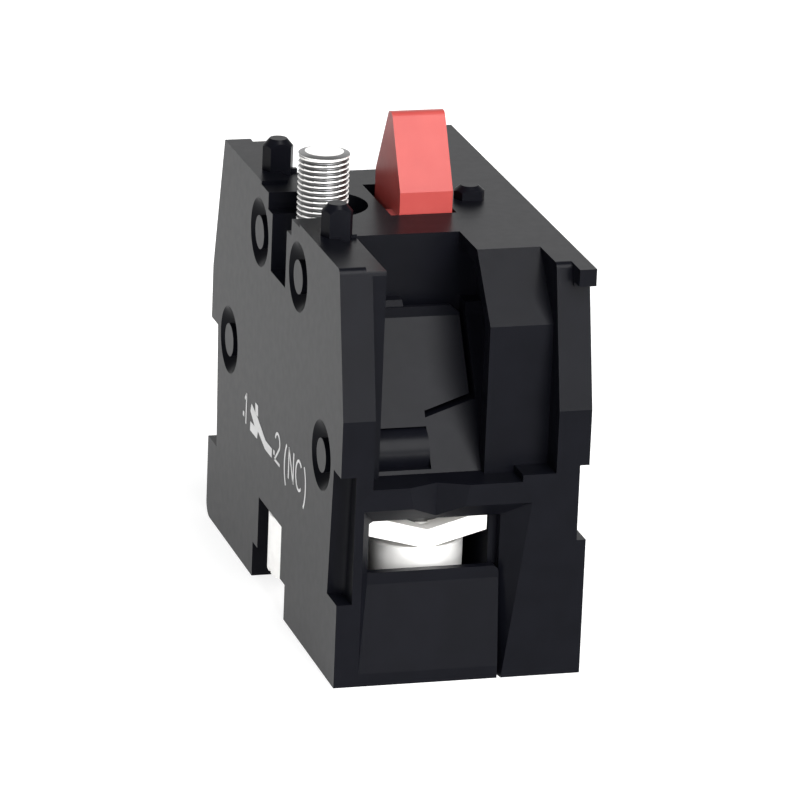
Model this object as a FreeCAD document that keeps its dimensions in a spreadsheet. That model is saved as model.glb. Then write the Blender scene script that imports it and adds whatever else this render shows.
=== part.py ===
"""Contact block of a 22 mm push-button: one normally closed contact with screw clamps at both ends.

Millimetres. +Z is the direction the red plunger points, X runs across the block (the cover is on the
-X side) and Y runs along it. The origin is the middle of the underside. Front and back are mirror
images, so each end feature is drawn once at the -Y end and mirrored.
"""
import FreeCAD, Part
import math
import os
import re
import Sketcher

DOC = FreeCAD.newDocument("ContactBlock")
SHEET = DOC.addObject("Spreadsheet::Sheet", "Sizes")

# Driving dimensions. "in" means measured inwards from the nearest end face or from the left face.
SIZES = (
    ("block_length", "30.0", "overall length"),
    ("block_width", "14.6", "overall width"),
    ("rim_top", "24.3", "height of the cover's raised rim"),
    ("deck_top", "24.1", "height of the top deck"),
    ("break_height", "15.9", "height where the end faces start to lean in"),
    ("top_setback", "1.9", "lean of the end faces at rim height"),
    ("top_round", "0.4", "rounding of the front end faces into the top"),
    ("foot_round", "0.9", "rounded back foot of the cover"),
    ("cover_thick", "1.9", "cover wall, up to the parting plane"),
    ("rim_wide", "1.57", "raised rim of the cover"),
    ("rim_gap_half", "4.35", "half length of the low middle of the rim"),
    ("groove_low", "5.0", "bottom of the corner grooves"),
    ("groove_high", "12.6", "top of the corner grooves"),
    ("groove_low_in", "2.08", "groove depth at its bottom"),
    ("groove_high_in", "1.56", "groove depth at its top"),
    ("groove_wide", "0.9", "groove width, cover side"),
    ("groove_round", "0.8", "inner corner of the cover's grooves"),
    ("far_groove_low", "8.1", "bottom of the grooves on the housing side"),
    ("far_groove_wide", "0.55", "groove width, housing side"),
    ("screw_in", "2.52", "fixing screw axis from the left face"),
    ("thread_radius", "1.5", "M3 thread, outside"),
    ("thread_top", "27.3", "top of the fixing screw"),
    ("thread_end_radius", "1.13", "flat end of the fixing screw"),
    ("thread_end_high", "0.12", "bevel at the end of the fixing screw"),
    ("screw_bevel", "0.25", "bevels of the screw heads and of the clamp screws' ends"),
    ("shank_radius", "1.3", "fixing screw below its thread"),
    ("head_radius", "2.5", "fixing screw head"),
    ("head_low", "1.45", "underside of the fixing screw head"),
    ("head_high", "5.3", "shoulder of the fixing screw head"),
    ("head_bore", "2.65", "bore and slot half width round the head"),
    ("head_bore_high", "5.35", "top of the bore round the head"),
    ("foot_slot_half", "3.75", "half width of the wide slot at the base"),
    ("foot_slot_high", "2.15", "height of the wide slot at the base"),
    ("shank_bore", "1.65", "bore and slot half width round the shank"),
    ("notch_low", "19.65", "bottom of the open notch at the shank"),
    ("counterbore_low", "23.1", "bottom of the counterbore in the deck"),
    ("ring_outside", "2.0", "retaining ring outer radius"),
    ("ring_inside", "1.13", "retaining ring inner radius"),
    ("ring_thick", "0.6", "retaining ring thickness"),
    ("ring_low", "9.35", "retaining ring, lower face"),
    ("ring_groove", "1.1", "radius of the screw in the ring's groove"),
    ("screw_play", "1.3", "axial play of the captive screw"),
    ("recess_in", "2.71", "left wall of the end recess, from the left face"),
    ("recess_right", "1.62", "right wall of the end recess"),
    ("core_half", "6.42", "half length between the end recesses"),
    ("strip_wide", "1.94", "thickness of the leaning right wall"),
    ("pillar_in", "1.8", "front of the pillar and of the recess wall"),
    ("pillar_bend", "20.5", "height where the pillar starts to slope"),
    ("pillar_top_in", "5.04", "slope of the pillar at deck height"),
    ("cut_overlap", "0.5", "how far cuts start inside an opening that is already there"),
    ("seat_play", "0.05", "play round seated metal pieces"),
    ("pocket_wide", "1.15", "shallow pocket in the pillar's side"),
    ("pocket_top", "23.2", "top of the pillar's pocket"),
    ("pocket_in", "2.9", "front of the pillar's pocket"),
    ("floor_high", "11.8", "floor of the end recess"),
    ("step_high", "12.2", "raised floor beside the pillar"),
    ("step_start", "3.4", "start of the raised floor"),
    ("slope_foot_in", "2.32", "foot of the sloped wall"),
    ("slope_head_in", "7.35", "head of the sloped wall"),
    ("slope_head_high", "19.5", "height of the slope's head"),
    ("slope_thick", "1.2", "thickness of the sloped wall along Y"),
    ("lip_high", "20.11", "top of the lip above the slope"),
    ("lip_thick", "0.3", "thickness of the lip"),
    ("ledge_wide", "2.71", "width of the ledge behind the lip"),
    ("ledge_high", "20.42", "top of the ledge"),
    ("ledge_run", "0.3", "length of the ledge's sloping front"),
    ("pocket_low", "20.26", "bottom of the pocket behind the slope's head"),
    ("slope_gap", "0.17", "gap beside the cover's sloped wall"),
    ("slit_right", "1.78", "right edge of the slit beside the sloped wall"),
    ("lip_bevel_wide", "0.6", "bevel at the lip's corner, along X"),
    ("lip_bevel_high", "0.47", "bevel at the lip's corner, along Z"),
    ("seam_left", "-1.31", "left end of the slanted seam"),
    ("seam_left_high", "14.87", "height of the slanted seam at its left end"),
    ("seam_right_high", "15.66", "height of the slanted seam at its right end"),
    ("seam_gap", "0.34", "height of the slanted seam"),
    ("window_top", "9.6", "top edge of the wire window"),
    ("funnel_in", "0.93", "depth of the wire window's bevels"),
    ("mouth_left_out", "0.47", "left bevel of the window, at the end face"),
    ("window_right", "2.44", "right edge of the wire window"),
    ("funnel_right_top", "4.0", "right bevel at its top"),
    ("funnel_right_foot", "2.6", "right bevel at the base"),
    ("guide_in", "0.7", "depth of the wire guide notch"),
    ("guide_x", "-1.47", "middle of the wire guide notch"),
    ("guide_half_top", "1.8", "half width of the notch at its top"),
    ("guide_half_low", "1.3", "half width of the notch at its bottom"),
    ("guide_over", "0.2", "how far the notch is cut past its faces"),
    ("step_in", "1.55", "depth of the window's outer step"),
    ("flap_thick", "1.05", "cover flap below the window"),
    ("flap_top", "6.65", "top of the flap"),
    ("flap_lean_low", "0.75", "start of the flap's lean"),
    ("flap_lean_high", "5.95", "end of the flap's lean"),
    ("flap_lean", "0.55", "lean of the flap"),
    ("flap_round", "0.42", "rounded top corner of the flap"),
    ("flap_gap", "0.08", "gap beside the flap"),
    ("clamp_x", "-1.65", "terminal screw axis"),
    ("clamp_in", "4.25", "terminal screw axis from the end face"),
    ("chamber_half", "3.6", "half width of the clamp chamber"),
    ("chamber_back_in", "7.7", "inner end of the clamp chamber"),
    ("base_thick", "1.3", "base wall"),
    ("access_radius", "2.3", "screwdriver hole below a clamp"),
    ("plate_low", "9.5", "underside of the terminal plate"),
    ("plate_thick", "0.8", "terminal plate"),
    ("plate_side_gap", "0.1", "gap between the terminal plate and the chamber's right wall"),
    ("plate_near_in", "1.5", "near edge of the terminal plate"),
    ("plate_far_in", "7.4", "far edge of the terminal plate"),
    ("plate_hole", "1.53", "threaded hole of the terminal plate"),
    ("tip_pocket_top", "11.55", "top of the pocket over a clamp screw"),
    ("tip_pocket_radius", "1.7", "radius of the pocket over a clamp screw"),
    ("clamp_tip_top", "11.45", "top of the clamp screw"),
    ("clamp_head_low", "5.3", "outer face of the clamp screw head"),
    ("clamp_head_high", "7.6", "shoulder of the clamp screw head"),
    ("clamp_head_radius", "2.8", "clamp screw head"),
    ("slot_wide", "0.8", "screwdriver slots"),
    ("slot_deep", "1.1", "screwdriver slots of the clamp screws"),
    ("fixing_slot_deep", "0.45", "screwdriver slot of the fixing screw"),
    ("washer_half", "3.5", "half width of the saddle washer"),
    ("washer_near_in", "1.62", "near edge of the saddle washer"),
    ("washer_far_in", "6.8", "far edge of the saddle washer"),
    ("washer_thick", "1.0", "saddle washer, in the middle"),
    ("washer_rise", "0.84", "rise of the saddle washer's wings"),
    ("washer_top", "9.45", "top of the saddle washer's wings"),
    ("washer_crest", "2.8", "half width where the wings reach their top"),
    ("washer_flat", "0.4", "half width of the saddle washer's flat middle"),
    ("washer_hole", "1.7", "hole of the saddle washer"),
    ("arm_x", "0.5", "middle of the contact system"),
    ("arm_half", "1.4", "half width of the fixed contact arm"),
    ("arm_leg_out", "5.35", "outer face of the arm's leg"),
    ("arm_leg_in", "4.6", "inner face of the arm's leg"),
    ("arm_top", "15.95", "top of the fixed contact arm"),
    ("arm_reach", "2.6", "inner end of the fixed contact arm"),
    ("tip_y", "3.6", "contact tips, from the middle"),
    ("tip_radius", "0.95", "contact tips"),
    ("fixed_tip_low", "14.7", "contact face of the fixed tips"),
    ("fixed_tip_high", "15.2", "underside of the fixed contact arm"),
    ("bridge_tip_high", "14.68", "contact face of the moving tips"),
    ("bridge_low", "13.5", "underside of the bridge"),
    ("bridge_high", "14.1", "top of the bridge"),
    ("bridge_half_long", "4.5", "half length of the bridge"),
    ("bridge_half_wide", "1.2", "half width of the bridge"),
    ("cavity_left", "-1.45", "left wall of the contact cavity"),
    ("cavity_right", "2.45", "right wall of the contact cavity"),
    ("cavity_half", "5.45", "half length of the contact cavity"),
    ("cavity_top", "22.7", "underside of the deck"),
    ("core_out_left", "3.3", "left wall of the side cavity"),
    ("core_out_right", "6.1", "inner face of the right wall"),
    ("core_out_half", "12.4", "half length of the side cavity"),
    ("core_out_top", "19.5", "top of the side cavity"),
    ("port_half", "1.0", "half width of the ports to the side cavity"),
    ("opening_left", "-1.44", "plunger opening"),
    ("opening_right", "2.49", "plunger opening"),
    ("opening_half", "2.8", "plunger opening, front edge from the middle"),
    ("opening_back", "3.45", "plunger opening, back edge from the middle"),
    ("wedge_left", "-0.9", "plunger wedge"),
    ("wedge_right", "2.26", "plunger wedge"),
    ("wedge_half", "2.65", "half depth of the plunger wedge"),
    ("wedge_shoulder", "25.36", "height where the wedge starts to taper"),
    ("wedge_top", "29.5", "ridge of the wedge"),
    ("ridge_half", "0.34", "half width of the ridge before rounding"),
    ("ridge_round", "0.5", "rounding of the ridge"),
    ("rib_left", "-1.35", "guide rib of the plunger"),
    ("rib_end", "-0.8", "inner end of the guide rib"),
    ("rib_top", "23.9", "top of the guide rib"),
    ("stem_left", "-1.38", "plunger stem"),
    ("stem_right", "2.38", "plunger stem"),
    ("stem_half", "2.2", "half depth of the plunger stem"),
    ("stem_low", "8.2", "underside of the stem"),
    ("flange_low", "21.2", "underside of the plunger's flange"),
    ("flange_high", "22.68", "top of the plunger's flange"),
    ("flange_half", "3.7", "half depth of the plunger's flange"),
    ("stem_window_low", "9.6", "bottom of the stem's window"),
    ("stem_window_high", "15.75", "top of the stem's window"),
    ("stem_window_half", "1.3", "half width of the stem's window"),
    ("contact_coil", "0.8", "mean radius of the contact spring"),
    ("contact_wire", "0.15", "wire radius of the contact spring"),
    ("return_coil", "1.4", "mean radius of the return spring"),
    ("return_wire", "0.2", "wire radius of the return spring"),
    ("stub_radius", "0.9", "spring stub on the base"),
    ("stub_top", "2.6", "top of the spring stub"),
    ("upper_post_y", "4.42", "upper stake posts, from the middle"),
    ("upper_post_z", "21.17", "upper stake posts"),
    ("lower_post_y", "10.68", "lower stake posts, from the middle"),
    ("lower_post_z", "12.53", "lower stake posts"),
    ("post_radius", "1.0", "stake posts"),
    ("post_hole", "1.03", "holes for the stake posts"),
    ("post_mouth", "2.05", "mouth of the conical stake recess"),
    ("post_cone", "1.0", "depth of the conical stake recess"),
    ("post_root", "1.5", "root of the lower stake posts"),
    ("root_window_low", "12.0", "bottom of the opening round the root"),
    ("root_window_high", "14.1", "top of the opening round the root"),
    ("pin_x_in", "1.55", "locating pins from the left face"),
    ("pin_y", "6.66", "locating pins, from the middle"),
    ("pin_radius", "0.93", "locating pins, round their corners"),
    ("pin_flat_half", "0.61", "half width of the flats at the ends of a pin"),
    ("pin_flat_y", "0.7", "distance of those flats from the axis"),
    ("nub_reach", "1.17", "end of the nub at a locating pin, from the axis"),
    ("nub_half", "0.15", "half width of the nub"),
    ("nub_high", "0.22", "height of the nub"),
    ("pin_tip_radius", "0.52", "flat tip of the locating pins"),
    ("pin_shoulder", "25.72", "shoulder of the locating pins"),
    ("pin_top", "26.2", "tip of the locating pins"),
    ("pin_root", "0.4", "depth of the locating pins' seats in the deck"),
    ("pin_seat", "1.0", "radius of the locating pins' seats"),
    ("short_pin_x", "4.04", "short pin on the deck"),
    ("short_pin_shoulder", "24.55", "shoulder of the short pin"),
    ("short_pin_top", "24.9", "tip of the short pin"),
    ("lug_wide", "1.0", "end lugs on the right wall"),
    ("lug_in", "0.4", "front of the end lugs"),
    ("lug_thick", "1.0", "thickness of the end lugs"),
    ("lug_depth", "2.6", "root of the end lugs"),
    ("lug_pad", "0.25", "height of the pad below each lug"),
    ("pad_in", "1.4", "front of the pad"),
)

WORD = re.compile(r"[a-z][a-z_]+")
TURN = {
    "X": FreeCAD.Rotation(FreeCAD.Vector(1, 1, 1), 120),
    "Y": FreeCAD.Rotation(FreeCAD.Vector(1, 0, 0), 90),
    "Z": FreeCAD.Rotation(),
}
START_RADIUS = 20

LEFT = "(-block_width / 2)"
RIGHT = "(block_width / 2)"
END = "(-block_length / 2)"
BEYOND_END = "(-block_length / 2 - 1)"
BEYOND_LEFT = "(-block_width / 2 - 1)"
PARTING = "(-block_width / 2 + cover_thick)"
RECESS_LEFT = "(-block_width / 2 + recess_in)"
STRIP_LEFT = "(block_width / 2 - strip_wide)"
SCREW_X = "(-block_width / 2 + screw_in)"
CLAMP_Y = "(-block_length / 2 + clamp_in)"
CHAMBER_RIGHT = "(clamp_x + chamber_half)"
SLOPE_RIGHT = "(recess_right - slope_gap)"
RING_TOP = "(ring_low + ring_thick)"
PLATE_TOP = "(plate_low + plate_thick)"
IN_RECESS = "(recess_right - cut_overlap)"
MOUTH_LEFT = "(-block_width / 2 + cover_thick - mouth_left_out)"


def fill_sheet():
    """Write every driving dimension into the sheet under its alias."""
    for row, (alias, value, note) in enumerate(SIZES, start=1):
        SHEET.set("A%d" % row, note)
        SHEET.set("B%d" % row, value)
        SHEET.setAlias("B%d" % row, alias)
    DOC.recompute()


def inward(alias):
    """Y of a point that lies this far in from the front end face."""
    return "(-block_length / 2 + %s)" % alias


def bind(item, prop, text):
    """Bind a property to a formula written in the sheet's words."""
    item.setExpression(prop, WORD.sub(lambda word: "Sizes." + word.group(0), text))


def place(item, spot, axis="Z"):
    """Turn an object's own Z to the axis and bind its position to three formulas."""
    item.Placement = FreeCAD.Placement(FreeCAD.Vector(), TURN[axis])
    for letter, text in zip("xyz", spot):
        bind(item, "Placement.Base." + letter, text)


def box(name, low, high):
    """Box between two corners."""
    item = DOC.addObject("Part::Box", name)
    place(item, low)
    for side, start, stop in zip(("Length", "Width", "Height"), low, high):
        bind(item, side, "(%s) - (%s)" % (stop, start))
    return item


def cylinder(name, radius, spot, length, axis="Z"):
    item = DOC.addObject("Part::Cylinder", name)
    place(item, spot, axis)
    bind(item, "Radius", radius)
    bind(item, "Height", length)
    return item


def cone(name, radius, top_radius, spot, length, axis="Z"):
    item = DOC.addObject("Part::Cone", name)
    place(item, spot, axis)
    bind(item, "Radius1", radius)
    bind(item, "Radius2", top_radius)
    bind(item, "Height", length)
    return item


def draw_polygon(sketch, corners):
    """Closed polygon whose corners are held by distances from the sketch's origin."""
    count = len(corners)
    start = []
    for i in range(count):
        angle = 2 * math.pi * i / count
        start.append(FreeCAD.Vector(START_RADIUS * math.cos(angle), START_RADIUS * math.sin(angle), 0))
    for i in range(count):
        sketch.addGeometry(Part.LineSegment(start[i], start[(i + 1) % count]), False)
    for i in range(count):
        sketch.addConstraint(Sketcher.Constraint("Coincident", i, 2, (i + 1) % count, 1))
    for i, corner in enumerate(corners):
        for kind, value, text in zip(("DistanceX", "DistanceY"), (start[i].x, start[i].y), corner):
            index = sketch.addConstraint(Sketcher.Constraint(kind, -1, 1, i, 1, value))
            bind(sketch, "Constraints[%d]" % index, text)


def polygon(name, corners, spot, axis):
    """Sketch of a polygon: (y, z) corners across X, (x, z) corners across Y, (x, y) corners across Z."""
    sketch = DOC.addObject("Sketcher::SketchObject", name)
    place(sketch, spot, axis)
    draw_polygon(sketch, corners)
    return sketch


def prism(name, corners, low, high, axis="X"):
    """Polygon extruded along an axis from low to high."""
    spot = {"X": (low, "0", "0"), "Y": ("0", high, "0"), "Z": ("0", "0", low)}[axis]
    item = DOC.addObject("Part::Extrusion", name)
    item.Base = polygon(name + "Outline", corners, spot, axis)
    item.DirMode = "Normal"
    item.Solid = True
    bind(item, "LengthFwd", "(%s) - (%s)" % (high, low))
    return item


def fuse(name, items):
    item = DOC.addObject("Part::MultiFuse", name)
    item.Shapes = items
    item.Refine = True
    return item


def cut(name, base, tools):
    item = DOC.addObject("Part::Cut", name)
    item.Base = base
    item.Tool = tools[0] if len(tools) == 1 else fuse(name + "Tools", tools)
    item.Refine = True
    return item


def common(name, items):
    item = DOC.addObject("Part::MultiCommon", name)
    item.Shapes = items
    item.Refine = True
    return item


def mirrored(item):
    """Copy of a front piece at the back end."""
    copy = DOC.addObject("Part::Mirroring", item.Name + "Back")
    copy.Source = item
    copy.Normal = FreeCAD.Vector(0, 1, 0)
    return copy


def both_ends(items):
    """The given front pieces and their copies at the back end."""
    return items + [mirrored(item) for item in items]


def rounded(name, base, radius, wanted):
    """Fillet the edges of an object whose end points all pass a test."""
    DOC.recompute()
    item = DOC.addObject("Part::Fillet", name)
    item.Base = base
    edges = enumerate(base.Shape.Edges, start=1)
    item.Edges = [(i, radius, radius) for i, edge in edges if all(wanted(v.Point) for v in edge.Vertexes)]
    return item


def hex_pin(name, x, y, low, shoulder, top):
    """Six-sided pin with a conical tip, wider across X than along Y."""
    left, right = x + " - pin_flat_half", x + " + pin_flat_half"
    front, back = y + " - pin_flat_y", y + " + pin_flat_y"
    corners = [(x + " - pin_radius", y), (left, front), (right, front),
               (x + " + pin_radius", y), (right, back), (left, back)]
    sides = prism(name + "Sides", corners, low, top, "Z")
    straight = cylinder(name + "Straight", "pin_radius", (x, y, low), "%s - (%s)" % (shoulder, low))
    tip = cone(name + "Tip", "pin_radius", "pin_tip_radius", (x, y, shoulder), "%s - %s" % (top, shoulder))
    return common(name, [sides, fuse(name + "Turned", [straight, tip])])


def origin_plane(body, role):
    """One of a body's own origin planes."""
    return next(plane for plane in body.Origin.OriginFeatures if plane.Role == role)


def body_sketch(body, name, role):
    """Sketch on one of a body's own origin planes."""
    sketch = body.newObject("Sketcher::SketchObject", name)
    sketch.AttachmentSupport = [(origin_plane(body, role), "")]
    sketch.MapMode = "FlatFace"
    return sketch


def turned_screw(name, spot, profile, slot_depth):
    """Screw turned from a profile of (radius, height) corners, slotted across its underside."""
    body = DOC.addObject("PartDesign::Body", name)
    place(body, spot)
    outline = body_sketch(body, name + "Profile", "XZ_Plane")
    draw_polygon(outline, profile)
    turned = body.newObject("PartDesign::Revolution", name + "Turned")
    turned.Profile = outline
    turned.ReferenceAxis = (outline, ["V_Axis"])
    turned.Angle = 360
    DOC.recompute()
    full = body.Shape.Volume
    slot_outline = body_sketch(body, name + "SlotOutline", "XY_Plane")
    reach = "(clamp_head_radius + 1)"
    corners = (("-" + reach, "-slot_wide / 2"), (reach, "-slot_wide / 2"),
               (reach, "slot_wide / 2"), ("-" + reach, "slot_wide / 2"))
    draw_polygon(slot_outline, corners)
    slot = body.newObject("PartDesign::Pocket", name + "Slot")
    slot.Profile = slot_outline
    slot.Reversed = True
    bind(slot, "Length", slot_depth)
    DOC.recompute()
    if body.Shape.Volume >= full:
        raise RuntimeError(name + ": the slot cuts nothing")
    return body


def spring(name, coil, wire, x, low, high, turns):
    """Compression spring of round wire between two heights."""
    helix = DOC.addObject("Part::Helix", name + "Path")
    place(helix, (x, "0", "%s + %s" % (low, wire)))
    bind(helix, "Radius", coil)
    bind(helix, "Height", "(%s) - (%s) - 2 * %s" % (high, low, wire))
    bind(helix, "Pitch", "((%s) - (%s) - 2 * %s) / %d" % (high, low, wire, turns))
    section = DOC.addObject("Part::Circle", name + "Section")
    place(section, ("%s + %s" % (x, coil), "0", "%s + %s" % (low, wire)), "Y")
    bind(section, "Radius", wire)
    sweep = DOC.addObject("Part::Sweep", name)
    sweep.Sections = [section]
    sweep.Spine = (helix, ["Edge1"])
    sweep.Solid = True
    sweep.Frenet = True
    return sweep


def end_outline(top):
    """Side view of the block, whose end faces lean in above the break."""
    lean = "block_length / 2 - top_setback * (%s - break_height) / (rim_top - break_height)" % top
    back = [("block_length / 2", "0"), ("block_length / 2", "break_height"), (lean, top)]
    return back + [("-(%s)" % y, z) for y, z in reversed(back)]


def envelope(name, top, low):
    """Side view extruded from an X plane to the right face, with its front top edge rounded."""
    sharp = prism(name + "Sharp", end_outline(top), low, RIGHT)
    height = getattr(SHEET, top)
    return rounded(name, sharp, SHEET.top_round, lambda point: point.y < 0 and abs(point.z - height) < 0.01)


def screw_passage():
    """Everything cut away round the captive fixing screw, in both the cover and the housing."""
    def bore(name, radius, low, high):
        return cylinder(name, radius, (SCREW_X, "0", low), "(%s) - (%s)" % (high, low))

    def side_slot(name, half, low, high):
        return box(name, (BEYOND_LEFT, "-" + half, low), (SCREW_X, half, high))

    return fuse("ScrewPassage", [
        bore("HeadBore", "head_bore", "-1", "head_bore_high"),
        side_slot("HeadSlot", "head_bore", "-1", "head_bore_high"),
        side_slot("FootSlot", "foot_slot_half", "-1", "foot_slot_high"),
        bore("ShankBore", "shank_bore", "0", "rim_top + 1"),
        side_slot("ShankNotch", "shank_bore", "notch_low", "rim_top + 1"),
        bore("Counterbore", "head_bore", "counterbore_low", "rim_top + 1"),
        side_slot("TopNotch", "head_bore", "counterbore_low", "rim_top + 1"),
        bore("RingCavity", "ring_outside + 2 * seat_play", "ring_low - screw_play - seat_play",
             RING_TOP + " + seat_play"),
    ])


def slope_corners(thick):
    """Section of the sloped wall with the thin upright lip at its head."""
    rise = "(slope_head_high - floor_high) / (slope_head_in - slope_foot_in)"
    knee = "floor_high + (slope_head_in + lip_thick - slope_foot_in - %s) * %s" % (thick, rise)
    return [(inward("slope_foot_in"), "floor_high"), (inward("slope_head_in"), "slope_head_high"),
            (inward("slope_head_in"), "lip_high"), (inward("slope_head_in + lip_thick"), "lip_high"),
            (inward("slope_head_in + lip_thick"), knee), (inward("slope_foot_in + " + thick), "floor_high")]


def seam_corners(gap):
    """The part of the sloped wall that belongs to the housing: right of and below the slanted seam."""
    run = "(slit_right - seam_left) / (recess_right - seam_left)"
    right_high = "seam_left_high + (seam_right_high - seam_left_high) * %s - %s" % (run, gap)
    return [("seam_left", "floor_high - 1"), ("seam_left", "seam_left_high - " + gap),
            ("slit_right", right_high), ("slit_right", "floor_high - 1")]


def window_mouth():
    """Funnel of the wire window, from the end face in to the straight part."""
    outer = polygon("MouthOuter", [
        (MOUTH_LEFT, "0"), ("funnel_right_foot", "0"), ("funnel_right_top", "window_top + funnel_in"),
        (MOUTH_LEFT, "window_top + funnel_in")], ("0", END, "0"), "Y")
    inner_left = MOUTH_LEFT + " + mouth_left_out * funnel_in / flap_lean"
    inner = polygon("MouthInner", [
        (inner_left, "0"), ("window_right", "0"), ("window_right", "window_top"),
        (inner_left, "window_top")], ("0", inward("funnel_in"), "0"), "Y")
    mouth = DOC.addObject("Part::Loft", "WindowMouth")
    mouth.Sections = [outer, inner]
    mouth.Solid = True
    mouth.Ruled = True
    return mouth


def wire_guide():
    """Notch above the window whose two sides close in towards its bottom."""
    def outline(name, half, height):
        corners = [("guide_x - " + half, END), ("guide_x + " + half, END), ("guide_x", inward("guide_in"))]
        return polygon(name, corners, ("0", "0", height), "Z")

    guide = DOC.addObject("Part::Loft", "WireGuide")
    guide.Sections = [outline("GuideLow", "guide_half_low", "window_top - guide_over"),
                      outline("GuideTop", "guide_half_top", "floor_high + guide_over")]
    guide.Solid = True
    guide.Ruled = True
    return guide


def build_cover(passage, mouth):
    """Cover: the left wall with its rim, pins, flaps, sloped walls and stake holes."""
    plate = prism("CoverPlate", end_outline("rim_top"), LEFT, PARTING)
    back_end = SHEET.block_length / 2
    plate = rounded("CoverFootRound", plate, SHEET.foot_round, lambda point:
                    abs(point.y - back_end) < 0.01 and point.z < 0.01)
    end_wall = box("EndWall", (PARTING, inward("pillar_in"), "floor_high"),
                   (RECESS_LEFT, "-core_half", "deck_top"))
    slope = prism("CoverSlope", slope_corners("slope_thick"), RECESS_LEFT, SLOPE_RIGHT)
    housing_side = prism("HousingSideOfSlope", seam_corners("0"), END, "0", "Y")
    root_window = box("RootWindow", (RECESS_LEFT, END, "floor_high"), ("seam_left", "0", "root_window_high"))
    lip_bevel = prism("LipBevel", [
        (SLOPE_RIGHT + " - lip_bevel_wide", "lip_high"), (SLOPE_RIGHT, "lip_high - lip_bevel_high"),
        (SLOPE_RIGHT + " + 1", "lip_high - lip_bevel_high"), (SLOPE_RIGHT + " + 1", "lip_high + 1"),
        (SLOPE_RIGHT + " - lip_bevel_wide", "lip_high + 1")], END, "0", "Y")
    slope_left = cut("CoverSlopeCut", slope, [housing_side, root_window, lip_bevel])
    ledge_front = inward("slope_head_in + lip_thick / 2")
    ledge = prism("Ledge", [
        (ledge_front, "slope_head_high"), (ledge_front, "lip_high"),
        (ledge_front + " + ledge_run", "ledge_high"), ("-core_half", "ledge_high"),
        ("-core_half", "slope_head_high")], RECESS_LEFT, RECESS_LEFT + " + ledge_wide")
    flap = prism("Flap", [
        (END, "0"), (inward("flap_thick"), "0"), (inward("flap_thick"), "flap_top"),
        (inward("flap_lean"), "flap_top"), (inward("flap_lean"), "flap_lean_high"),
        (END, "flap_lean_low")], PARTING, "window_right - flap_gap")
    right_top = SHEET.window_right - SHEET.flap_gap, SHEET.flap_top
    flap = rounded("FlapRound", flap, SHEET.flap_round, lambda point:
                   abs(point.x - right_top[0]) < 0.01 and abs(point.z - right_top[1]) < 0.01)

    rim_low_side = box("RimLowSide", (LEFT + " + rim_wide", END, "deck_top"),
                       (PARTING + " + 1", "-(%s)" % END, "rim_top + 1"))
    rim_gap = box("RimGap", (BEYOND_LEFT, "-rim_gap_half", "deck_top"),
                  (PARTING + " + 1", "rim_gap_half", "rim_top + 1"))
    groove = prism("CoverGroove", [
        (BEYOND_END, "groove_low"), (inward("groove_low_in"), "groove_low"),
        (inward("groove_high_in"), "groove_high"), (BEYOND_END, "groove_high")],
        BEYOND_LEFT, LEFT + " + groove_wide")
    inner_wall = -SHEET.block_width / 2 + SHEET.groove_wide
    end_face = -SHEET.block_length / 2
    groove = rounded("CoverGrooveRound", groove, SHEET.groove_round, lambda point:
                     abs(point.x - inner_wall) < 0.01 and point.y > end_face)
    window = box("CoverWindow", (BEYOND_LEFT, BEYOND_END, "flap_top"), (PARTING + " + 1", "0", "deck_top"))
    cover_mouth = common("CoverMouth", [mouth, window])
    lean_side = prism("LeanSide", [
        (BEYOND_END, "flap_lean_low"), (END, "flap_lean_low"), (inward("flap_lean"), "flap_lean_high"),
        (inward("flap_lean"), "flap_top"), (BEYOND_END, "flap_top")], LEFT, PARTING)
    lean_bevel = prism("LeanBevel", [
        (MOUTH_LEFT, BEYOND_END), (MOUTH_LEFT, END), (PARTING, inward("flap_lean")), (PARTING, BEYOND_END)],
        "0", "flap_top", "Z")
    lean = common("EmbossedLean", [lean_side, lean_bevel])
    holes = [rim_low_side, rim_gap, passage]
    for name, y, z, end in (("Upper", "-upper_post_y", "upper_post_z", PARTING),
                            ("Lower", "-lower_post_y", "lower_post_z", RECESS_LEFT)):
        through = cylinder(name + "StakeHole", "post_hole", (BEYOND_LEFT, y, z),
                           "%s - %s + 1" % (end, BEYOND_LEFT), "X")
        mouth_cone = cone(name + "StakeCone", "post_mouth", "post_hole", (LEFT, y, z), "post_cone", "X")
        holes += both_ends([through, mouth_cone])
    pin_x = LEFT + " + pin_x_in"
    pin = hex_pin("LocatingPin", pin_x, "-pin_y", "deck_top - pin_root", "pin_shoulder", "pin_top")
    nub = box("PinNub", (pin_x, "-pin_y - nub_half", "deck_top + 0.01"),
              (pin_x + " + nub_reach", "-pin_y + nub_half", "deck_top + nub_high"))

    solid = fuse("CoverSolid", [plate] + both_ends([end_wall, slope_left, ledge, flap]))
    trimmed = common("CoverTrimmed", [solid, envelope("CoverEnvelope", "rim_top", LEFT)])
    carved = cut("CoverCarved", trimmed, holes + both_ends([groove, cover_mouth, lean]))
    return fuse("Cover", [carved] + both_ends([pin, nub]))


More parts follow.
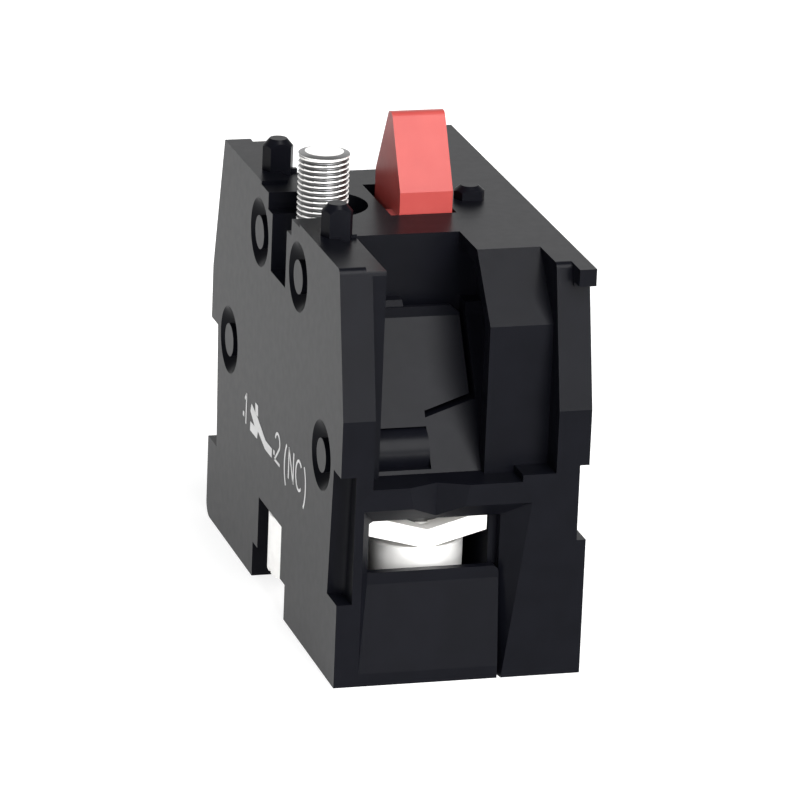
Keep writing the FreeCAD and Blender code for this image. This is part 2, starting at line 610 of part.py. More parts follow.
def recess_cuts():
    """Open recess above the floor at the front end, with the pillar's face, slope and side pocket."""
    recess = box("Recess", (BEYOND_LEFT, BEYOND_END, "floor_high"),
                 ("recess_right", "-core_half", "deck_top + 1"))
    pillar_front = prism("PillarFront", [
        (BEYOND_END, "step_high"), (inward("pillar_in"), "step_high"), (inward("pillar_in"), "pillar_bend"),
        (inward("pillar_top_in"), "deck_top"), (inward("pillar_top_in"), "deck_top + 1"),
        (BEYOND_END, "deck_top + 1")], IN_RECESS, STRIP_LEFT)
    low_floor = box("LowFloor", (IN_RECESS, BEYOND_END, "floor_high"),
                    ("step_start", inward("pillar_in"), "step_high"))
    rise = "(slope_head_high - floor_high) / (slope_head_in - slope_foot_in)"
    pocket = prism("PillarPocket", [
        (inward("pocket_in"), "floor_high + (pocket_in - slope_foot_in) * " + rise),
        (inward("slope_head_in"), "slope_head_high"), (inward("slope_head_in"), "pocket_low"),
        ("-core_half", "pocket_low"), ("-core_half", "pocket_top"),
        (inward("pocket_in") + " + (pocket_top - pillar_bend)", "pocket_top"),
        (inward("pocket_in"), "pillar_bend")], IN_RECESS, "recess_right + pocket_wide")
    slit_foot = "(seam_right_high - seam_gap)"
    slit = prism("SlopeSlit", [
        (inward("slope_foot_in") + " + (%s - floor_high) / (%s)" % (slit_foot, rise), slit_foot),
        (inward("slope_head_in"), "slope_head_high"), (inward("slope_head_in"), "pocket_low"),
        ("-core_half", "pocket_low"), ("-core_half", slit_foot)], IN_RECESS, "slit_right")
    return [recess, pillar_front, low_floor, pocket, slit]


def clamp_cuts(mouth, guide):
    """Wire window, clamp chamber, screwdriver hole and terminal plate seat at the front end."""
    window = box("Window", (BEYOND_LEFT, BEYOND_END, "-1"),
                 ("window_right", inward("step_in"), "window_top"))
    chamber = box("Chamber", (BEYOND_LEFT, inward("flap_thick"), "base_thick"),
                  (CHAMBER_RIGHT, inward("chamber_back_in"), "plate_low"))
    base = box("ChamberBase", (PARTING, inward("step_in"), "0"),
               ("window_right", inward("chamber_back_in"), "base_thick"))
    seat = box("PlateSeat", (BEYOND_LEFT, inward("plate_near_in"), "plate_low - cut_overlap"),
               (CHAMBER_RIGHT, inward("plate_far_in"), PLATE_TOP))
    tip_pocket = cylinder("TipPocket", "tip_pocket_radius", ("clamp_x", CLAMP_Y, "plate_low"),
                          "tip_pocket_top - plate_low")
    access = cylinder("Access", "access_radius", ("clamp_x", CLAMP_Y, "-1"), "base_thick + 2")
    arm_gap_half = "(arm_half + seat_play)"
    arm_slot = box("ArmSlot",
                   ("arm_x - " + arm_gap_half, inward("plate_far_in - cut_overlap"),
                    "plate_low - seat_play"),
                   ("arm_x + " + arm_gap_half, "-cavity_half + cut_overlap",
                    PLATE_TOP + " + seat_play"))
    far_groove = box("FarGroove", (RIGHT + " - far_groove_wide", BEYOND_END, "far_groove_low"),
                     (RIGHT + " + 1", inward("groove_low_in - 0.1"), "groove_high"))
    front_window = cut("WindowOnly", window, [base])
    return [front_window, mouth, chamber, seat, tip_pocket, access, arm_slot, guide, far_groove]


def build_housing(passage, mouth):
    """Housing: base, core, pillars, right wall and the hollow for the contact system."""
    block = envelope("HousingEnvelope", "deck_top", PARTING)
    contact_cavity = box("ContactCavity", ("cavity_left", "-cavity_half", "base_thick"),
                         ("cavity_right", "cavity_half", "cavity_top"))
    side_cavity = box("SideCavity", ("core_out_left", "-core_out_half", "base_thick"),
                      ("core_out_right", "core_out_half", "core_out_top"))
    port = box("Port", ("cavity_right - 0.5", "-port_half", "base_thick + 1"),
               ("core_out_left + 0.5", "port_half", "core_out_top - 1"))
    opening = box("PlungerOpening", ("opening_left", "-opening_half", "cavity_top - cut_overlap"),
                  ("opening_right", "opening_back", "deck_top + 1"))
    pin_seat = cylinder("PinSeat", "pin_seat", (LEFT + " + pin_x_in", "-pin_y", "deck_top - pin_root"),
                        "pin_root + 1")
    ends = both_ends(recess_cuts() + clamp_cuts(mouth, wire_guide()) + [pin_seat])
    hollow = cut("HousingHollow", block, [contact_cavity, side_cavity, port, opening, passage] + ends)

    slope = prism("HousingSlope", slope_corners("slope_thick"), RECESS_LEFT, "recess_right")
    corner = prism("SlopeCorner", seam_corners("seam_gap"), END, "0", "Y")
    slope_right = common("SlopeRight", [slope, corner])
    sill_space = box("SillSpace", (RECESS_LEFT, END, "floor_high"), ("seam_left", "0", "root_window_low"))
    sill = common("Sill", [slope, sill_space])
    root_round = cylinder("PostRootRound", "post_root", (RECESS_LEFT, "-lower_post_y", "lower_post_z"),
                          "seam_left - %s" % RECESS_LEFT, "X")
    above_floor = box("AboveFloor", (RECESS_LEFT, END, "floor_high"), ("seam_left", "0", "slope_head_high"))
    root = common("PostRoot", [root_round, above_floor])
    lower_post = cylinder("LowerPost", "post_radius", (LEFT, "-lower_post_y", "lower_post_z"),
                          "%s - %s + 0.5" % (RECESS_LEFT, LEFT), "X")
    upper_post = cylinder("UpperPost", "post_radius", (LEFT, "-upper_post_y", "upper_post_z"),
                          "%s - %s + 0.5" % (PARTING, LEFT), "X")
    lug = box("Lug", (RIGHT + " - lug_wide", inward("lug_in"), "deck_top - lug_thick"),
              (RIGHT, inward("lug_depth"), "deck_top"))
    back_reach = box("BackLugReach",
                     (RIGHT + " - lug_wide", "-(%s)" % inward("lug_in"), "deck_top - lug_thick"),
                     (RIGHT, "block_length / 2", "deck_top"))
    pad = box("LugPad", (RIGHT + " - lug_wide", inward("pad_in"), "deck_top - lug_thick - lug_pad"),
              (RIGHT, inward("lug_depth"), "deck_top - lug_thick"))
    stub = cylinder("SpringStub", "stub_radius", ("arm_x", "0", "base_thick - 0.5"),
                    "stub_top - base_thick + 0.5")
    short_pin = hex_pin("ShortPin", "short_pin_x", "0", "deck_top - pin_root",
                        "short_pin_shoulder", "short_pin_top")
    ends = both_ends([slope_right, sill, root, lower_post, upper_post, lug, pad]) + [back_reach]
    return fuse("Housing", [hollow, stub, short_pin] + ends)


def build_plunger():
    """Red plunger: wedge, guide rib, retaining flange and the windowed stem that carries the bridge."""
    wedge = prism("Wedge", [
        ("-wedge_half", "flange_low"), ("wedge_half", "flange_low"), ("wedge_half", "wedge_shoulder"),
        ("ridge_half", "wedge_top"), ("-ridge_half", "wedge_top"), ("-wedge_half", "wedge_shoulder")],
        "wedge_left", "wedge_right")
    ridge = SHEET.wedge_top
    for name, side in (("WedgeRoundFront", -1), ("WedgeRoundBack", 1)):
        wedge = rounded(name, wedge, SHEET.ridge_round, lambda point, side=side:
                        abs(point.z - ridge) < 0.01 and side * point.y > 0.1)
    rib = box("GuideRib", ("rib_left", "-wedge_half", "flange_low"), ("rib_end", "-0.9", "rib_top"))
    flange = box("Flange", ("stem_left + 0.03", "-flange_half", "flange_low"),
                 ("stem_right - 0.03", "flange_half", "flange_high"))
    stem = box("Stem", ("stem_left", "-stem_half", "stem_low"), ("stem_right", "stem_half", "flange_low"))
    stem_window = box("StemWindow", ("arm_x - stem_window_half", "-stem_half - 1", "stem_window_low"),
                      ("arm_x + stem_window_half", "stem_half + 1", "stem_window_high"))
    return cut("Plunger", fuse("PlungerSolid", [wedge, rib, flange, stem]), [stem_window])


def build_fixing_screw():
    """Captive fixing screw with the groove that holds its retaining ring."""
    groove_low = "ring_low - 0.03 - head_low"
    groove_high = RING_TOP + " + 0.03 - head_low"
    return turned_screw("FixingScrew", (SCREW_X, "0", "head_low"), [
        ("0", "0"), ("head_radius - screw_bevel", "0"), ("head_radius", "screw_bevel"),
        ("head_radius", "head_high - head_low"),
        ("shank_radius", "head_high - head_low"), ("shank_radius", groove_low),
        ("ring_groove", groove_low), ("ring_groove", groove_high), ("shank_radius", groove_high),
        ("shank_radius", "counterbore_low - head_low"), ("thread_radius", "counterbore_low - head_low"),
        ("thread_radius", "thread_top - thread_end_high - head_low"),
        ("thread_end_radius", "thread_top - head_low"), ("0", "thread_top - head_low")], "fixing_slot_deep")


def build_clamp_screw(name, y):
    """Screw that draws the saddle washer up against the terminal plate."""
    return turned_screw(name, ("clamp_x", y, "clamp_head_low"), [
        ("0", "0"), ("clamp_head_radius - screw_bevel", "0"), ("clamp_head_radius", "screw_bevel"),
        ("clamp_head_radius", "clamp_head_high - clamp_head_low"),
        ("thread_radius", "clamp_head_high - clamp_head_low"),
        ("thread_radius", "clamp_tip_top - screw_bevel - clamp_head_low"),
        ("thread_radius - screw_bevel", "clamp_tip_top - clamp_head_low"),
        ("0", "clamp_tip_top - clamp_head_low")], "slot_deep")


def build_retaining_ring():
    """Open ring snapped into the fixing screw's groove."""
    disc = cylinder("RingDisc", "ring_outside", (SCREW_X, "0", "ring_low"), "ring_thick")
    inside = cylinder("RingInside", "ring_inside", (SCREW_X, "0", "ring_low - 1"), "ring_thick + 2")
    mouth = box("RingMouth", (SCREW_X, "-ring_groove / 2", "ring_low - 1"),
                (SCREW_X + " + ring_outside + 1", "ring_groove / 2", RING_TOP + " + 1"))
    return cut("RetainingRing", disc, [inside, mouth])


def build_saddle_washer():
    """Saddle washer whose wings rise on both sides of the clamp screw."""
    low = "clamp_head_high + seat_play"
    saddle = prism("Saddle", [
        ("clamp_x - washer_half", low + " + washer_rise"), ("clamp_x - washer_flat", low),
        ("clamp_x + washer_flat", low), ("clamp_x + washer_half", low + " + washer_rise"),
        ("clamp_x + washer_half", "washer_top"), ("clamp_x + washer_crest", "washer_top"),
        ("clamp_x", low + " + washer_thick"),
        ("clamp_x - washer_crest", "washer_top"), ("clamp_x - washer_half", "washer_top")],
        inward("washer_near_in"), inward("washer_far_in"), "Y")
    hole = cylinder("WasherHole", "washer_hole", ("clamp_x", CLAMP_Y, low + " - 1"), "washer_thick + 3")
    return cut("SaddleWasher", saddle, [hole])


def build_terminal_plate():
    """Terminal plate with its arm bent up and in to carry a fixed contact."""
    plate = box("Plate", (PARTING, inward("plate_near_in"), "plate_low"),
                (CHAMBER_RIGHT + " - plate_side_gap", inward("plate_far_in"), PLATE_TOP))
    arm_left, arm_right = "arm_x - arm_half", "arm_x + arm_half"
    arm = box("Arm", (arm_left, inward("plate_far_in - 0.5"), "plate_low"),
              (arm_right, "-arm_leg_in", PLATE_TOP))
    leg = box("Leg", (arm_left, "-arm_leg_out", "plate_low"), (arm_right, "-arm_leg_in", "arm_top"))
    tab = box("Tab", (arm_left, "-arm_leg_out", "fixed_tip_high"), (arm_right, "-arm_reach", "arm_top"))
    tapped = cylinder("PlateHole", "plate_hole", ("clamp_x", CLAMP_Y, "plate_low - 1"), "plate_thick + 2")
    return cut("TerminalPlate", fuse("PlateSolid", [plate, arm, leg, tab]), [tapped])


def contact_tip(name, side, low, high):
    return cylinder(name, "tip_radius", ("arm_x", side + "tip_y", low), "%s - %s" % (high, low))


def build_nodes():
    """Every sub-part by node name."""
    passage = screw_passage()
    mouth = window_mouth()
    washer = build_saddle_washer()
    plate = build_terminal_plate()
    return {
        "housing": build_housing(passage, mouth),
        "cover": build_cover(passage, mouth),
        "plunger": build_plunger(),
        "fixing_screw": build_fixing_screw(),
        "retaining_ring": build_retaining_ring(),
        "clamp_screw_front": build_clamp_screw("ClampScrewFront", CLAMP_Y),
        "clamp_screw_back": build_clamp_screw("ClampScrewBack", "-" + CLAMP_Y),
        "clamp_washer_front": washer,
        "clamp_washer_back": mirrored(washer),
        "terminal_plate_front": plate,
        "terminal_plate_back": mirrored(plate),
        "fixed_tip_front": contact_tip("FixedTipFront", "-", "fixed_tip_low", "fixed_tip_high"),
        "fixed_tip_back": contact_tip("FixedTipBack", "", "fixed_tip_low", "fixed_tip_high"),
        "contact_bridge": box("Bridge", ("arm_x - bridge_half_wide", "-bridge_half_long", "bridge_low"),
                              ("arm_x + bridge_half_wide", "bridge_half_long", "bridge_high")),
        "bridge_tip_front": contact_tip("BridgeTipFront", "-", "bridge_high", "bridge_tip_high"),
        "bridge_tip_back": contact_tip("BridgeTipBack", "", "bridge_high", "bridge_tip_high"),
        "contact_spring": spring("ContactSpring", "contact_coil", "contact_wire", "arm_x",
                                 "stem_window_low", "bridge_low", 6),
        "return_spring": spring("ReturnSpring", "return_coil", "return_wire", "arm_x",
                                "base_thick", "stem_low", 5),
    }


def export(nodes):
    """Check every object and every sub-part, then write the parts."""
    DOC.recompute()
    failed = [item.Name for item in DOC.Objects if {"Invalid", "Error"} & set(item.State)]
    for node, item in nodes.items():
        item.Label = node
        shape = item.Shape
        if shape.isNull() or not shape.isValid() or len(shape.Solids) != 1:
            failed.append(node)
    if failed:
        raise RuntimeError("failed: " + ", ".join(failed))
    os.makedirs("parts", exist_ok=True)
    for node, item in nodes.items():
        item.Shape.exportStep("parts/%s.step" % node)


fill_sheet()
export(build_nodes())
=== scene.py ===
import math

import bmesh
import bpy
from mathutils import Matrix, Vector


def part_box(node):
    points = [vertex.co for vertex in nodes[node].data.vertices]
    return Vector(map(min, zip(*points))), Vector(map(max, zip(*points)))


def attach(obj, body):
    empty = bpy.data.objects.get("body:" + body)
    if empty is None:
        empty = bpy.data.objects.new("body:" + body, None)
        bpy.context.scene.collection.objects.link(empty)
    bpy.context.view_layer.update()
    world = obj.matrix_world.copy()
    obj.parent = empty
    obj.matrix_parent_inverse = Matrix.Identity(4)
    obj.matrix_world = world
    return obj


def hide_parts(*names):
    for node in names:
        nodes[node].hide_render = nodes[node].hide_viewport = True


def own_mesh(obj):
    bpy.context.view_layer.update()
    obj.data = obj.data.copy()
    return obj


# The looks of a push-button contact block: charcoal moulded plastic, a red plunger and zinc-plated steel.
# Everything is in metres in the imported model's frame; MM turns millimetres into metres.

MM = 0.001
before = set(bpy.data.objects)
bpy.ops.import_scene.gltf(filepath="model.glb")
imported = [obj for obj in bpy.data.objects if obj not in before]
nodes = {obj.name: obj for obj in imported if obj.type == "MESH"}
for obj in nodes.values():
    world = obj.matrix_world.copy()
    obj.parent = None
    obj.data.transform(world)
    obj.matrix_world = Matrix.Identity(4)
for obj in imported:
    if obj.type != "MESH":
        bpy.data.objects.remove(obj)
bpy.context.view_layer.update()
scene = bpy.context.scene


# ---------------------------------------------------------------- materials

def start_material(name):
    """New node material: its node tree, its shader and a texture coordinate in metres."""
    material = bpy.data.materials.new(name)
    material.use_nodes = True
    tree = material.node_tree
    shader = tree.nodes["Principled BSDF"]
    place = tree.nodes.new("ShaderNodeTexCoord")
    return material, tree, shader, place


def noise(tree, place, size, detail=3.0, stretch=(1, 1, 1)):
    """Noise whose features are about this many metres across."""
    mapping = tree.nodes.new("ShaderNodeMapping")
    mapping.inputs["Scale"].default_value = stretch
    texture = tree.nodes.new("ShaderNodeTexNoise")
    texture.inputs["Scale"].default_value = 1 / size
    texture.inputs["Detail"].default_value = detail
    tree.links.new(place.outputs["Object"], mapping.inputs["Vector"])
    tree.links.new(mapping.outputs["Vector"], texture.inputs["Vector"])
    return texture.outputs["Fac"]


def ramp(tree, value, low, high):
    """Colours or greys spread between two stops of a noise."""
    node = tree.nodes.new("ShaderNodeValToRGB")
    for stop, position, shade in zip(node.color_ramp.elements, (0.35, 0.65), (low, high)):
        stop.position = position
        stop.color = (*shade, 1) if hasattr(shade, "__len__") else (shade, shade, shade, 1)
    tree.links.new(value, node.inputs["Fac"])
    return node.outputs["Color"]


def plastic(name, dark, light, roughness, ior):
    """Moulded plastic: faint clouding in the colour and a slightly uneven sheen."""
    uneven = 0.012
    material, tree, shader, place = start_material(name)
    tree.links.new(ramp(tree, noise(tree, place, 1.7 * MM), dark, light), shader.inputs["Base Color"])
    sheen = ramp(tree, noise(tree, place, 0.6 * MM), roughness - uneven, roughness + uneven)
    tree.links.new(sheen, shader.inputs["Roughness"])
    shader.inputs["IOR"].default_value = ior
    return material


def metal(name, dark, light, roughness, stretch=(1, 1, 1), metallic=1.0):
    """Plated or rolled metal; a dull plating is partly diffuse."""
    uneven = 0.03
    material, tree, shader, place = start_material(name)
    shader.inputs["Metallic"].default_value = metallic
    lines = noise(tree, place, 0.25 * MM, detail=4.0, stretch=stretch)
    tree.links.new(ramp(tree, noise(tree, place, 0.9 * MM), dark, light), shader.inputs["Base Color"])
    tree.links.new(ramp(tree, lines, roughness - uneven, roughness + uneven), shader.inputs["Roughness"])
    return material


black = plastic("charcoal_plastic", (0.0024, 0.0026, 0.0041), (0.0030, 0.0032, 0.0050), 0.32, 1.15)
red = plastic("red_plastic", (0.305, 0.044, 0.039), (0.325, 0.050, 0.044), 0.34, 1.25)
zinc = metal("zinc_plate", (0.88, 0.87, 0.85), (0.93, 0.92, 0.90), 0.42, metallic=0.45)
# Painted shade: a darker metal laid on the thread's grooves and its end bevel, where the zinc lies in
# shade.
painted_thread_shade = metal("painted_thread_shade", (0.17, 0.17, 0.17), (0.21, 0.21, 0.21), 0.35)
spring_steel = metal("spring_steel", (0.55, 0.55, 0.56), (0.68, 0.68, 0.69), 0.25)
brass = metal("brass", (0.76, 0.58, 0.28), (0.84, 0.67, 0.36), 0.28, (0.2, 1, 1))
silver = metal("contact_silver", (0.84, 0.83, 0.80), (0.93, 0.92, 0.90), 0.30)
print_white = plastic("pad_print", (0.58, 0.58, 0.58), (0.64, 0.64, 0.64), 0.55, 1.3)


def paint(obj, material):
    obj.data.materials.clear()
    obj.data.materials.append(material)


# ---------------------------------------------------------------- mesh tools

def make_object(name, points, faces, material, smooth_angle=None):
    """New mesh object. With a smooth angle, only edges bent by more than that angle stay sharp."""
    mesh = bpy.data.meshes.new(name)
    mesh.from_pydata(points, [], faces)
    bm = bmesh.new()
    bm.from_mesh(mesh)
    bmesh.ops.remove_doubles(bm, verts=bm.verts, dist=0.0002 * MM)
    bmesh.ops.recalc_face_normals(bm, faces=bm.faces)
    if smooth_angle:
        for face in bm.faces:
            face.smooth = True
        for edge in bm.edges:
            edge.smooth = len(edge.link_faces) == 2 and edge.calc_face_angle() < smooth_angle
    bm.to_mesh(mesh)
    bm.free()
    obj = bpy.data.objects.new(name, mesh)
    scene.collection.objects.link(obj)
    paint(obj, material)
    return obj


def lathe(name, centre, rings, segments, material):
    """Closed turned piece. Each ring is a height and a radius, or a radius that depends on the angle."""
    points = []
    faces = []
    for height, radius in rings:
        for i in range(segments):
            angle = 2 * math.pi * i / segments
            r = radius(angle) if callable(radius) else radius
            points.append((centre[0] + r * math.cos(angle), centre[1] + r * math.sin(angle), height))
    for row in range(len(rings) - 1):
        for i in range(segments):
            a = row * segments + i
            b = row * segments + (i + 1) % segments
            faces.append((a, b, b + segments, a + segments))
    faces.append(tuple(range(segments)))
    faces.append(tuple(range((len(rings) - 1) * segments, len(rings) * segments)))
    return make_object(name, points, faces, material, math.radians(32))


def thread_rings(low, high, crest, root, pitch, steps=12):
    """Rings of a right-handed thread that runs out into full rings at both ends."""
    run_out = 0.6 * pitch
    narrowing = 0.8
    rings = []
    count = round((high - low) / pitch * steps)
    for k in range(count + 1):
        height = low + (high - low) * k / count
        inside = min(height - low, high - height) / run_out
        depth = (crest - root) * min(1.0, max(0.0, inside))

        def radius(angle, height=height, depth=depth):
            turn = height / pitch - angle / (2 * math.pi)
            return crest - depth * (0.5 + 0.5 * math.cos(2 * math.pi * turn)) ** narrowing
        rings.append((height, radius))
    return rings


def carve(obj, low, high):
    """Cut a box-shaped slot out of an object."""
    corners = [(x, y, z) for x in (low[0], high[0]) for y in (low[1], high[1]) for z in (low[2], high[2])]
    sides = [(0, 1, 3, 2), (4, 6, 7, 5), (0, 4, 5, 1), (2, 3, 7, 6), (0, 2, 6, 4), (1, 5, 7, 3)]
    cutter = make_object("cutter", corners, sides, obj.data.materials[0])
    modifier = obj.modifiers.new("slot", "BOOLEAN")
    modifier.operation = "DIFFERENCE"
    modifier.solver = "EXACT"
    modifier.object = cutter
    graph = bpy.context.evaluated_depsgraph_get()
    carved = bpy.data.meshes.new_from_object(obj.evaluated_get(graph))
    obj.modifiers.clear()
    obj.data = carved
    bpy.data.objects.remove(cutter)


def coil_spring(name, centre, coil, wire, low, high, turns, material, end_turns=1.0):
    """Compression spring whose end turns lie closed."""
    around, across = 40, 12
    total = turns + 2 * end_turns
    span = high - low - 2 * wire
    closed = 2.1 * wire * end_turns
    open_pitch = (span - 2 * closed) / turns
    points, faces = [], []
    count = round(total * around)
    for k in range(count + 1):
        turn = total * k / count
        if turn < end_turns:
            rise = closed * turn / end_turns
        elif turn < end_turns + turns:
            rise = closed + open_pitch * (turn - end_turns)
        else:
            rise = span - closed * (total - turn) / end_turns
        angle = 2 * math.pi * turn
        for j in range(across):
            tilt = 2 * math.pi * j / across
            r = coil + wire * math.cos(tilt)
            points.append((centre[0] + r * math.cos(angle), centre[1] + r * math.sin(angle),
                           low + wire + rise + wire * math.sin(tilt)))
    for k in range(count):
        for j in range(across):
            a = k * across + j
            b = k * across + (j + 1) % across
            faces.append((a, b, b + across, a + across))
    faces.append(tuple(range(across)))
    faces.append(tuple(range(count * across, (count + 1) * across)))
    return make_object(name, points, faces, material, math.radians(40))


def box_middle(node):
    low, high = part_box(node)
    return (low + high) / 2


# ---------------------------------------------------------------- materials of the CAD nodes

LOOKS = {
    "housing": black, "cover": black, "plunger": red, "retaining_ring": spring_steel,
    "clamp_washer_front": zinc, "clamp_washer_back": zinc,
    "terminal_plate_front": zinc, "terminal_plate_back": zinc, "contact_bridge": brass,
    "fixed_tip_front": silver, "fixed_tip_back": silver,
    "bridge_tip_front": silver, "bridge_tip_back": silver,
    "contact_spring": spring_steel, "return_spring": spring_steel,
    "fixing_screw": zinc, "clamp_screw_front": zinc, "clamp_screw_back": zinc,
}
for node, material in LOOKS.items():
    paint(nodes[node], material)


# ---------------------------------------------------------------- screws

def paint_thread_shade(screw, centre, low, top, limit):
    """Shade the thread smooth, and paint shade on its grooves and its end bevel with a darker metal."""
    mesh = screw.data
    mesh.materials.append(painted_thread_shade)
    smooth_top = top - 0.15 * MM
    bevel_low, bevel_high = top - 0.12 * MM, top - 0.001 * MM
    for edge in mesh.edges:
        if all(low < mesh.vertices[i].co.z < smooth_top for i in edge.vertices):
            edge.use_edge_sharp = False
    for face in mesh.polygons:
        radius = math.hypot(face.center.x - centre[0], face.center.y - centre[1])
        bevelled = bevel_low < face.center.z < bevel_high
        # Groove faces and the end bevel take the painted-shade metal.
        if bevelled or face.center.z > low and 0.5 * limit < radius < limit:
            face.material_index = 1


def slotted_screw(name, node, body, head_radius, head_high, neck, thread, thread_low, slot, groove=()):
    """Screw with a bevelled head, a slot along X, a plain neck and a thread up to its flat end.

    thread is its crest and root radius, its pitch, and the radius and height of the bevelled end.
    slot is its width and depth.
    """
    low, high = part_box(node)
    middle = box_middle(node)
    crest, root, pitch, end_radius, end_high = thread
    bevel, rim, tiny = 0.25 * MM, 0.12 * MM, 0.02 * MM
    # Only the outer share of the thread depth keeps the plain zinc; deeper groove faces get painted shade.
    bright_share = 0.32
    rings = [(low.z, tiny), (low.z, head_radius - bevel), (low.z + bevel / 3, head_radius - bevel / 3),
             (low.z + bevel, head_radius), (head_high - rim, head_radius),
             (head_high, head_radius - rim), (head_high, neck)]
    rings += list(groove)
    rings += [(thread_low - tiny, neck)]
    rings += thread_rings(thread_low, high.z - end_high, crest, root, pitch)
    rings += [(high.z, end_radius), (high.z, tiny)]
    screw = lathe(name, (middle.x, middle.y), rings, 96, zinc)
    paint_thread_shade(screw, (middle.x, middle.y), thread_low, high.z, crest - bright_share * (crest - root))
    wide, deep = slot
    carve(screw, (middle.x - 2 * head_radius, middle.y - wide / 2, low.z - MM),
          (middle.x + 2 * head_radius, middle.y + wide / 2, low.z + deep))
    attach(screw, body)
    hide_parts(node)
    return screw


RING_PLAY = 0.03 * MM
fixing_neck, ring_seat = 1.3 * MM, 1.1 * MM
ring_low, ring_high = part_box("retaining_ring")
slotted_screw("fixing_screw_turned", "fixing_screw", "screw",
              head_radius=2.5 * MM, head_high=5.3 * MM, neck=fixing_neck,
              thread=(1.5 * MM, 1.33 * MM, 0.31 * MM, 1.13 * MM, 0.12 * MM), thread_low=23.1 * MM,
              slot=(0.8 * MM, 0.45 * MM),
              groove=((ring_low.z - RING_PLAY, fixing_neck), (ring_low.z - RING_PLAY, ring_seat),
                      (ring_high.z + RING_PLAY, ring_seat), (ring_high.z + RING_PLAY, fixing_neck)))
clamp_neck = 1.24 * MM
for end in ("front", "back"):
    slotted_screw("clamp_screw_%s_turned" % end, "clamp_screw_" + end, end + "_screw",
                  head_radius=2.8 * MM, head_high=7.6 * MM, neck=clamp_neck,
                  thread=(1.5 * MM, clamp_neck, 0.5 * MM, 1.15 * MM, 0.25 * MM), thread_low=7.75 * MM,
                  slot=(0.8 * MM, 1.1 * MM))


# ---------------------------------------------------------------- springs

# The return spring stands on the housing's floor, and at full press it keeps 0.39 of its length.
stub_middle = box_middle("contact_bridge")
return_low, return_high = 1.3 * MM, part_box("plunger")[0].z
return_spring = coil_spring("return_coil", stub_middle, 1.4 * MM, 0.2 * MM, return_low, return_high, 4,
                            spring_steel)
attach(return_spring, "block")
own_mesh(return_spring)
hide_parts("return_spring")

contact_low, contact_high = 9.6 * MM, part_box("contact_bridge")[0].z
contact_spring = coil_spring("contact_coil", stub_middle, 0.8 * MM, 0.15 * MM, contact_low, contact_high, 4,
                             spring_steel)
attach(contact_spring, "plunger")
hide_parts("contact_spring")


# ---------------------------------------------------------------- pad printing on the cover

PRINT_THICK = 0.015 * MM
# The printed outlines are (y, z) in millimetres on the cover's face.
BASELINE = 8.75
CAP = 1.9
PEN = 0.17


def print_shape(outlines):
    """Flat outlines turned into one thin layer of ink on the cover's face."""
    face_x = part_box("cover")[0].x
    points, faces = [], []
    for outline in outlines:
        start = len(points)
        count = len(outline)
        for x in (face_x, face_x - PRINT_THICK):
            points += [(x, y * MM, z * MM) for y, z in outline]
        faces.append(tuple(range(start, start + count)))
        faces.append(tuple(range(start + count, start + 2 * count)))
        for i in range(count):
            j = (i + 1) % count
            faces.append((start + i, start + j, start + count + j, start + count + i))
    ink = make_object("cover_print", points, faces, print_white)
    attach(ink, "block")
    return ink


def stroke(path, width):
    """Outline of a line of constant width along a path."""
    left, right = [], []
    for i, (y, z) in enumerate(path):
        before = path[max(i - 1, 0)]
        after = path[min(i + 1, len(path) - 1)]
        along = Vector((after[0] - before[0], after[1] - before[1])).normalized()
        left.append((y - along.y * width / 2, z + along.x * width / 2))
        right.append((y + along.y * width / 2, z - along.x * width / 2))
    return left + right[::-1]


def arc(y, z, half_wide, half_high, start, stop, count=14):
    """Points along part of an ellipse, angles in degrees, 0 towards the reader's right."""
    path = []
    for k in range(count + 1):
        angle = math.radians(start + (stop - start) * k / count)
        path.append((y - half_wide * math.cos(angle), z + half_high * math.sin(angle)))
    return path


def clamp_numbers(top):
    """The clamps' numbers, 1 towards the back and 2 nearer the front."""
    foot = BASELINE + 0.08
    two = arc(-1.18, top - 0.62, 0.52, 0.55, 165, -25) + [(-1.02, BASELINE + 0.45), (-0.6, foot)]
    return [
        stroke([(6.50, top - 0.45), (6.15, top - 0.05)], PEN),
        stroke([(6.15, top), (6.15, BASELINE)], PEN),
        stroke(two, PEN),
        stroke([(-0.56, foot), (-1.8, foot)], PEN),
    ]


def contact_letters(top):
    """N and C for a normally closed contact, between round brackets."""
    middle = BASELINE + CAP / 2
    bracket_middle = middle - 0.33
    stem_left, stem_right = -3.8, -4.86
    return [
        stroke(arc(-3.95, bracket_middle, 1.1, 1.61, 130, 230), PEN),
        stroke([(stem_left, BASELINE), (stem_left, top)], PEN),
        stroke([(stem_right, BASELINE), (stem_right, top)], PEN),
        stroke([(stem_left, top - 0.05), (stem_right, BASELINE + 0.05)], PEN),
        stroke(arc(-6.1, middle, 0.7, 0.88, 48, 312, 24), PEN),
        stroke(arc(-6.5, bracket_middle, 1.1, 1.61, 50, -50), PEN),
    ]


def contact_symbol():
    """Switch symbol: a slanting blade with its hook, a tail on each side and a short bar above."""
    low, high = 8.7, 9.25
    return [
        [(5.1, high), (5.1, low), (3.5, low), (3.32, 9.24), (4.07, 9.27)],
        [(4.1, 10.75), (3.5, 10.75), (3.4, 10.1), (4.0, 10.1)],
        [(4.95, 10.4), (5.15, 9.88), (4.07, 9.27), (3.32, 9.24), (1.55, low), (1.55, high), (3.45, 10.0)],
        [(1.55, high), (1.55, low), (0.05, low), (0.05, high)],
    ]


def dot(left):
    """Square dot beside a clamp number."""
    side, low, high = 0.27, 9.05, 9.33
    return [(left, high), (left - side, high), (left - side, low), (left, low)]


cap_top = BASELINE + CAP
print_shape(clamp_numbers(cap_top) + contact_letters(cap_top) + contact_symbol() + [dot(6.87), dot(-0.33)])


# ---------------------------------------------------------------- stage

AIM = Vector((0, 0, 0.015))


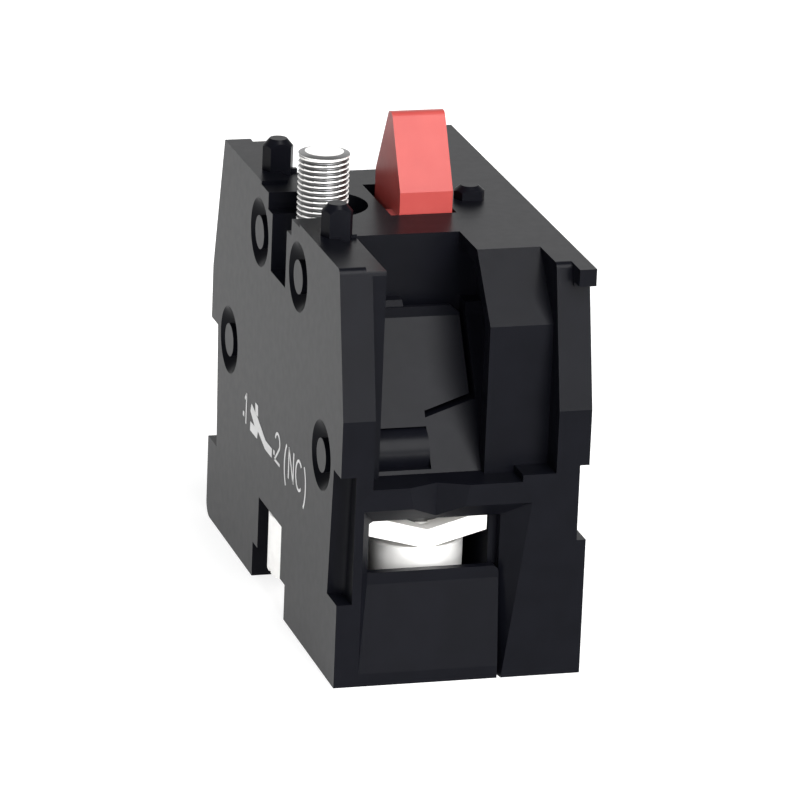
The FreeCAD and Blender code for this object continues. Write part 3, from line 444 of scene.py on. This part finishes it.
def softbox(name, spot, wide, high, radiance):
    """White area light of a given brightness, aimed at the middle of the block."""
    data = bpy.data.lights.new(name, "AREA")
    data.shape = "RECTANGLE"
    data.size = wide
    data.size_y = high
    data.energy = radiance * math.pi * wide * high
    lamp = bpy.data.objects.new(name, data)
    lamp.location = spot
    lamp.rotation_euler = (AIM - Vector(spot)).to_track_quat("-Z", "Y").to_euler()
    scene.collection.objects.link(lamp)


def add_floor():
    """Pale paper that glows a little, so that it stays white in shadow."""
    bm = bmesh.new()
    bmesh.ops.create_grid(bm, x_segments=8, y_segments=8, size=6.0)
    mesh = bpy.data.meshes.new("floor")
    bm.to_mesh(mesh)
    bm.free()
    floor = bpy.data.objects.new("floor", mesh)
    scene.collection.objects.link(floor)
    material, tree, shader, place = start_material("floor_paper")
    tree.links.new(ramp(tree, noise(tree, place, 0.4), (0.40, 0.40, 0.40), (0.43, 0.43, 0.43)),
                   shader.inputs["Base Color"])
    shader.inputs["Roughness"].default_value = 0.9
    shader.inputs["Specular IOR Level"].default_value = 0.0
    shader.inputs["Emission Color"].default_value = (1, 1, 1, 1)
    shader.inputs["Emission Strength"].default_value = 0.76
    paint(floor, material)


def add_camera():
    """Long lens from the front left and above, turned a little about its own axis."""
    azimuth, elevation, roll = (math.radians(a) for a in (-16.401, 18.497, 2.316))
    right = Vector((math.cos(azimuth), math.sin(azimuth), 0))
    back = Vector((math.sin(azimuth) * math.cos(elevation), -math.cos(azimuth) * math.cos(elevation),
                   math.sin(elevation)))
    up = back.cross(right)
    side = math.cos(roll) * right + math.sin(roll) * up
    top = math.cos(roll) * up - math.sin(roll) * right
    data = bpy.data.cameras.new("camera")
    data.sensor_width = 36.0
    data.lens = 273.17
    data.clip_start = 0.01
    data.clip_end = 50
    camera = bpy.data.objects.new("camera", data)
    camera.matrix_world = Matrix.Translation((-0.0950, -0.3240, 0.12485)) @ Matrix(
        (side, top, back)).transposed().to_4x4()
    scene.collection.objects.link(camera)
    scene.camera = camera


def add_world():
    """Even white surroundings."""
    world = bpy.data.worlds.new("studio")
    world.use_nodes = True
    background = world.node_tree.nodes["Background"]
    background.inputs["Color"].default_value = (1, 1, 1, 1)
    background.inputs["Strength"].default_value = 0.35
    scene.world = world


scene.view_settings.view_transform = "Standard"
add_world()
add_floor()
add_camera()
softbox("front_softbox", (0.25, -0.86, 0.82), 0.64, 1.12, 12.0)
softbox("front_low_softbox", (0.33, -1.14, 0.07), 0.70, 0.13, 17.0)
softbox("left_softbox", (-0.60, -1.00, 0.36), 0.4, 0.4, 10.0)
softbox("right_softbox", (1.10, -0.58, 0.20), 0.5, 0.38, 5.0)
softbox("back_softbox", (0.30, 1.42, 0.62), 1.9, 0.9, 0.93)
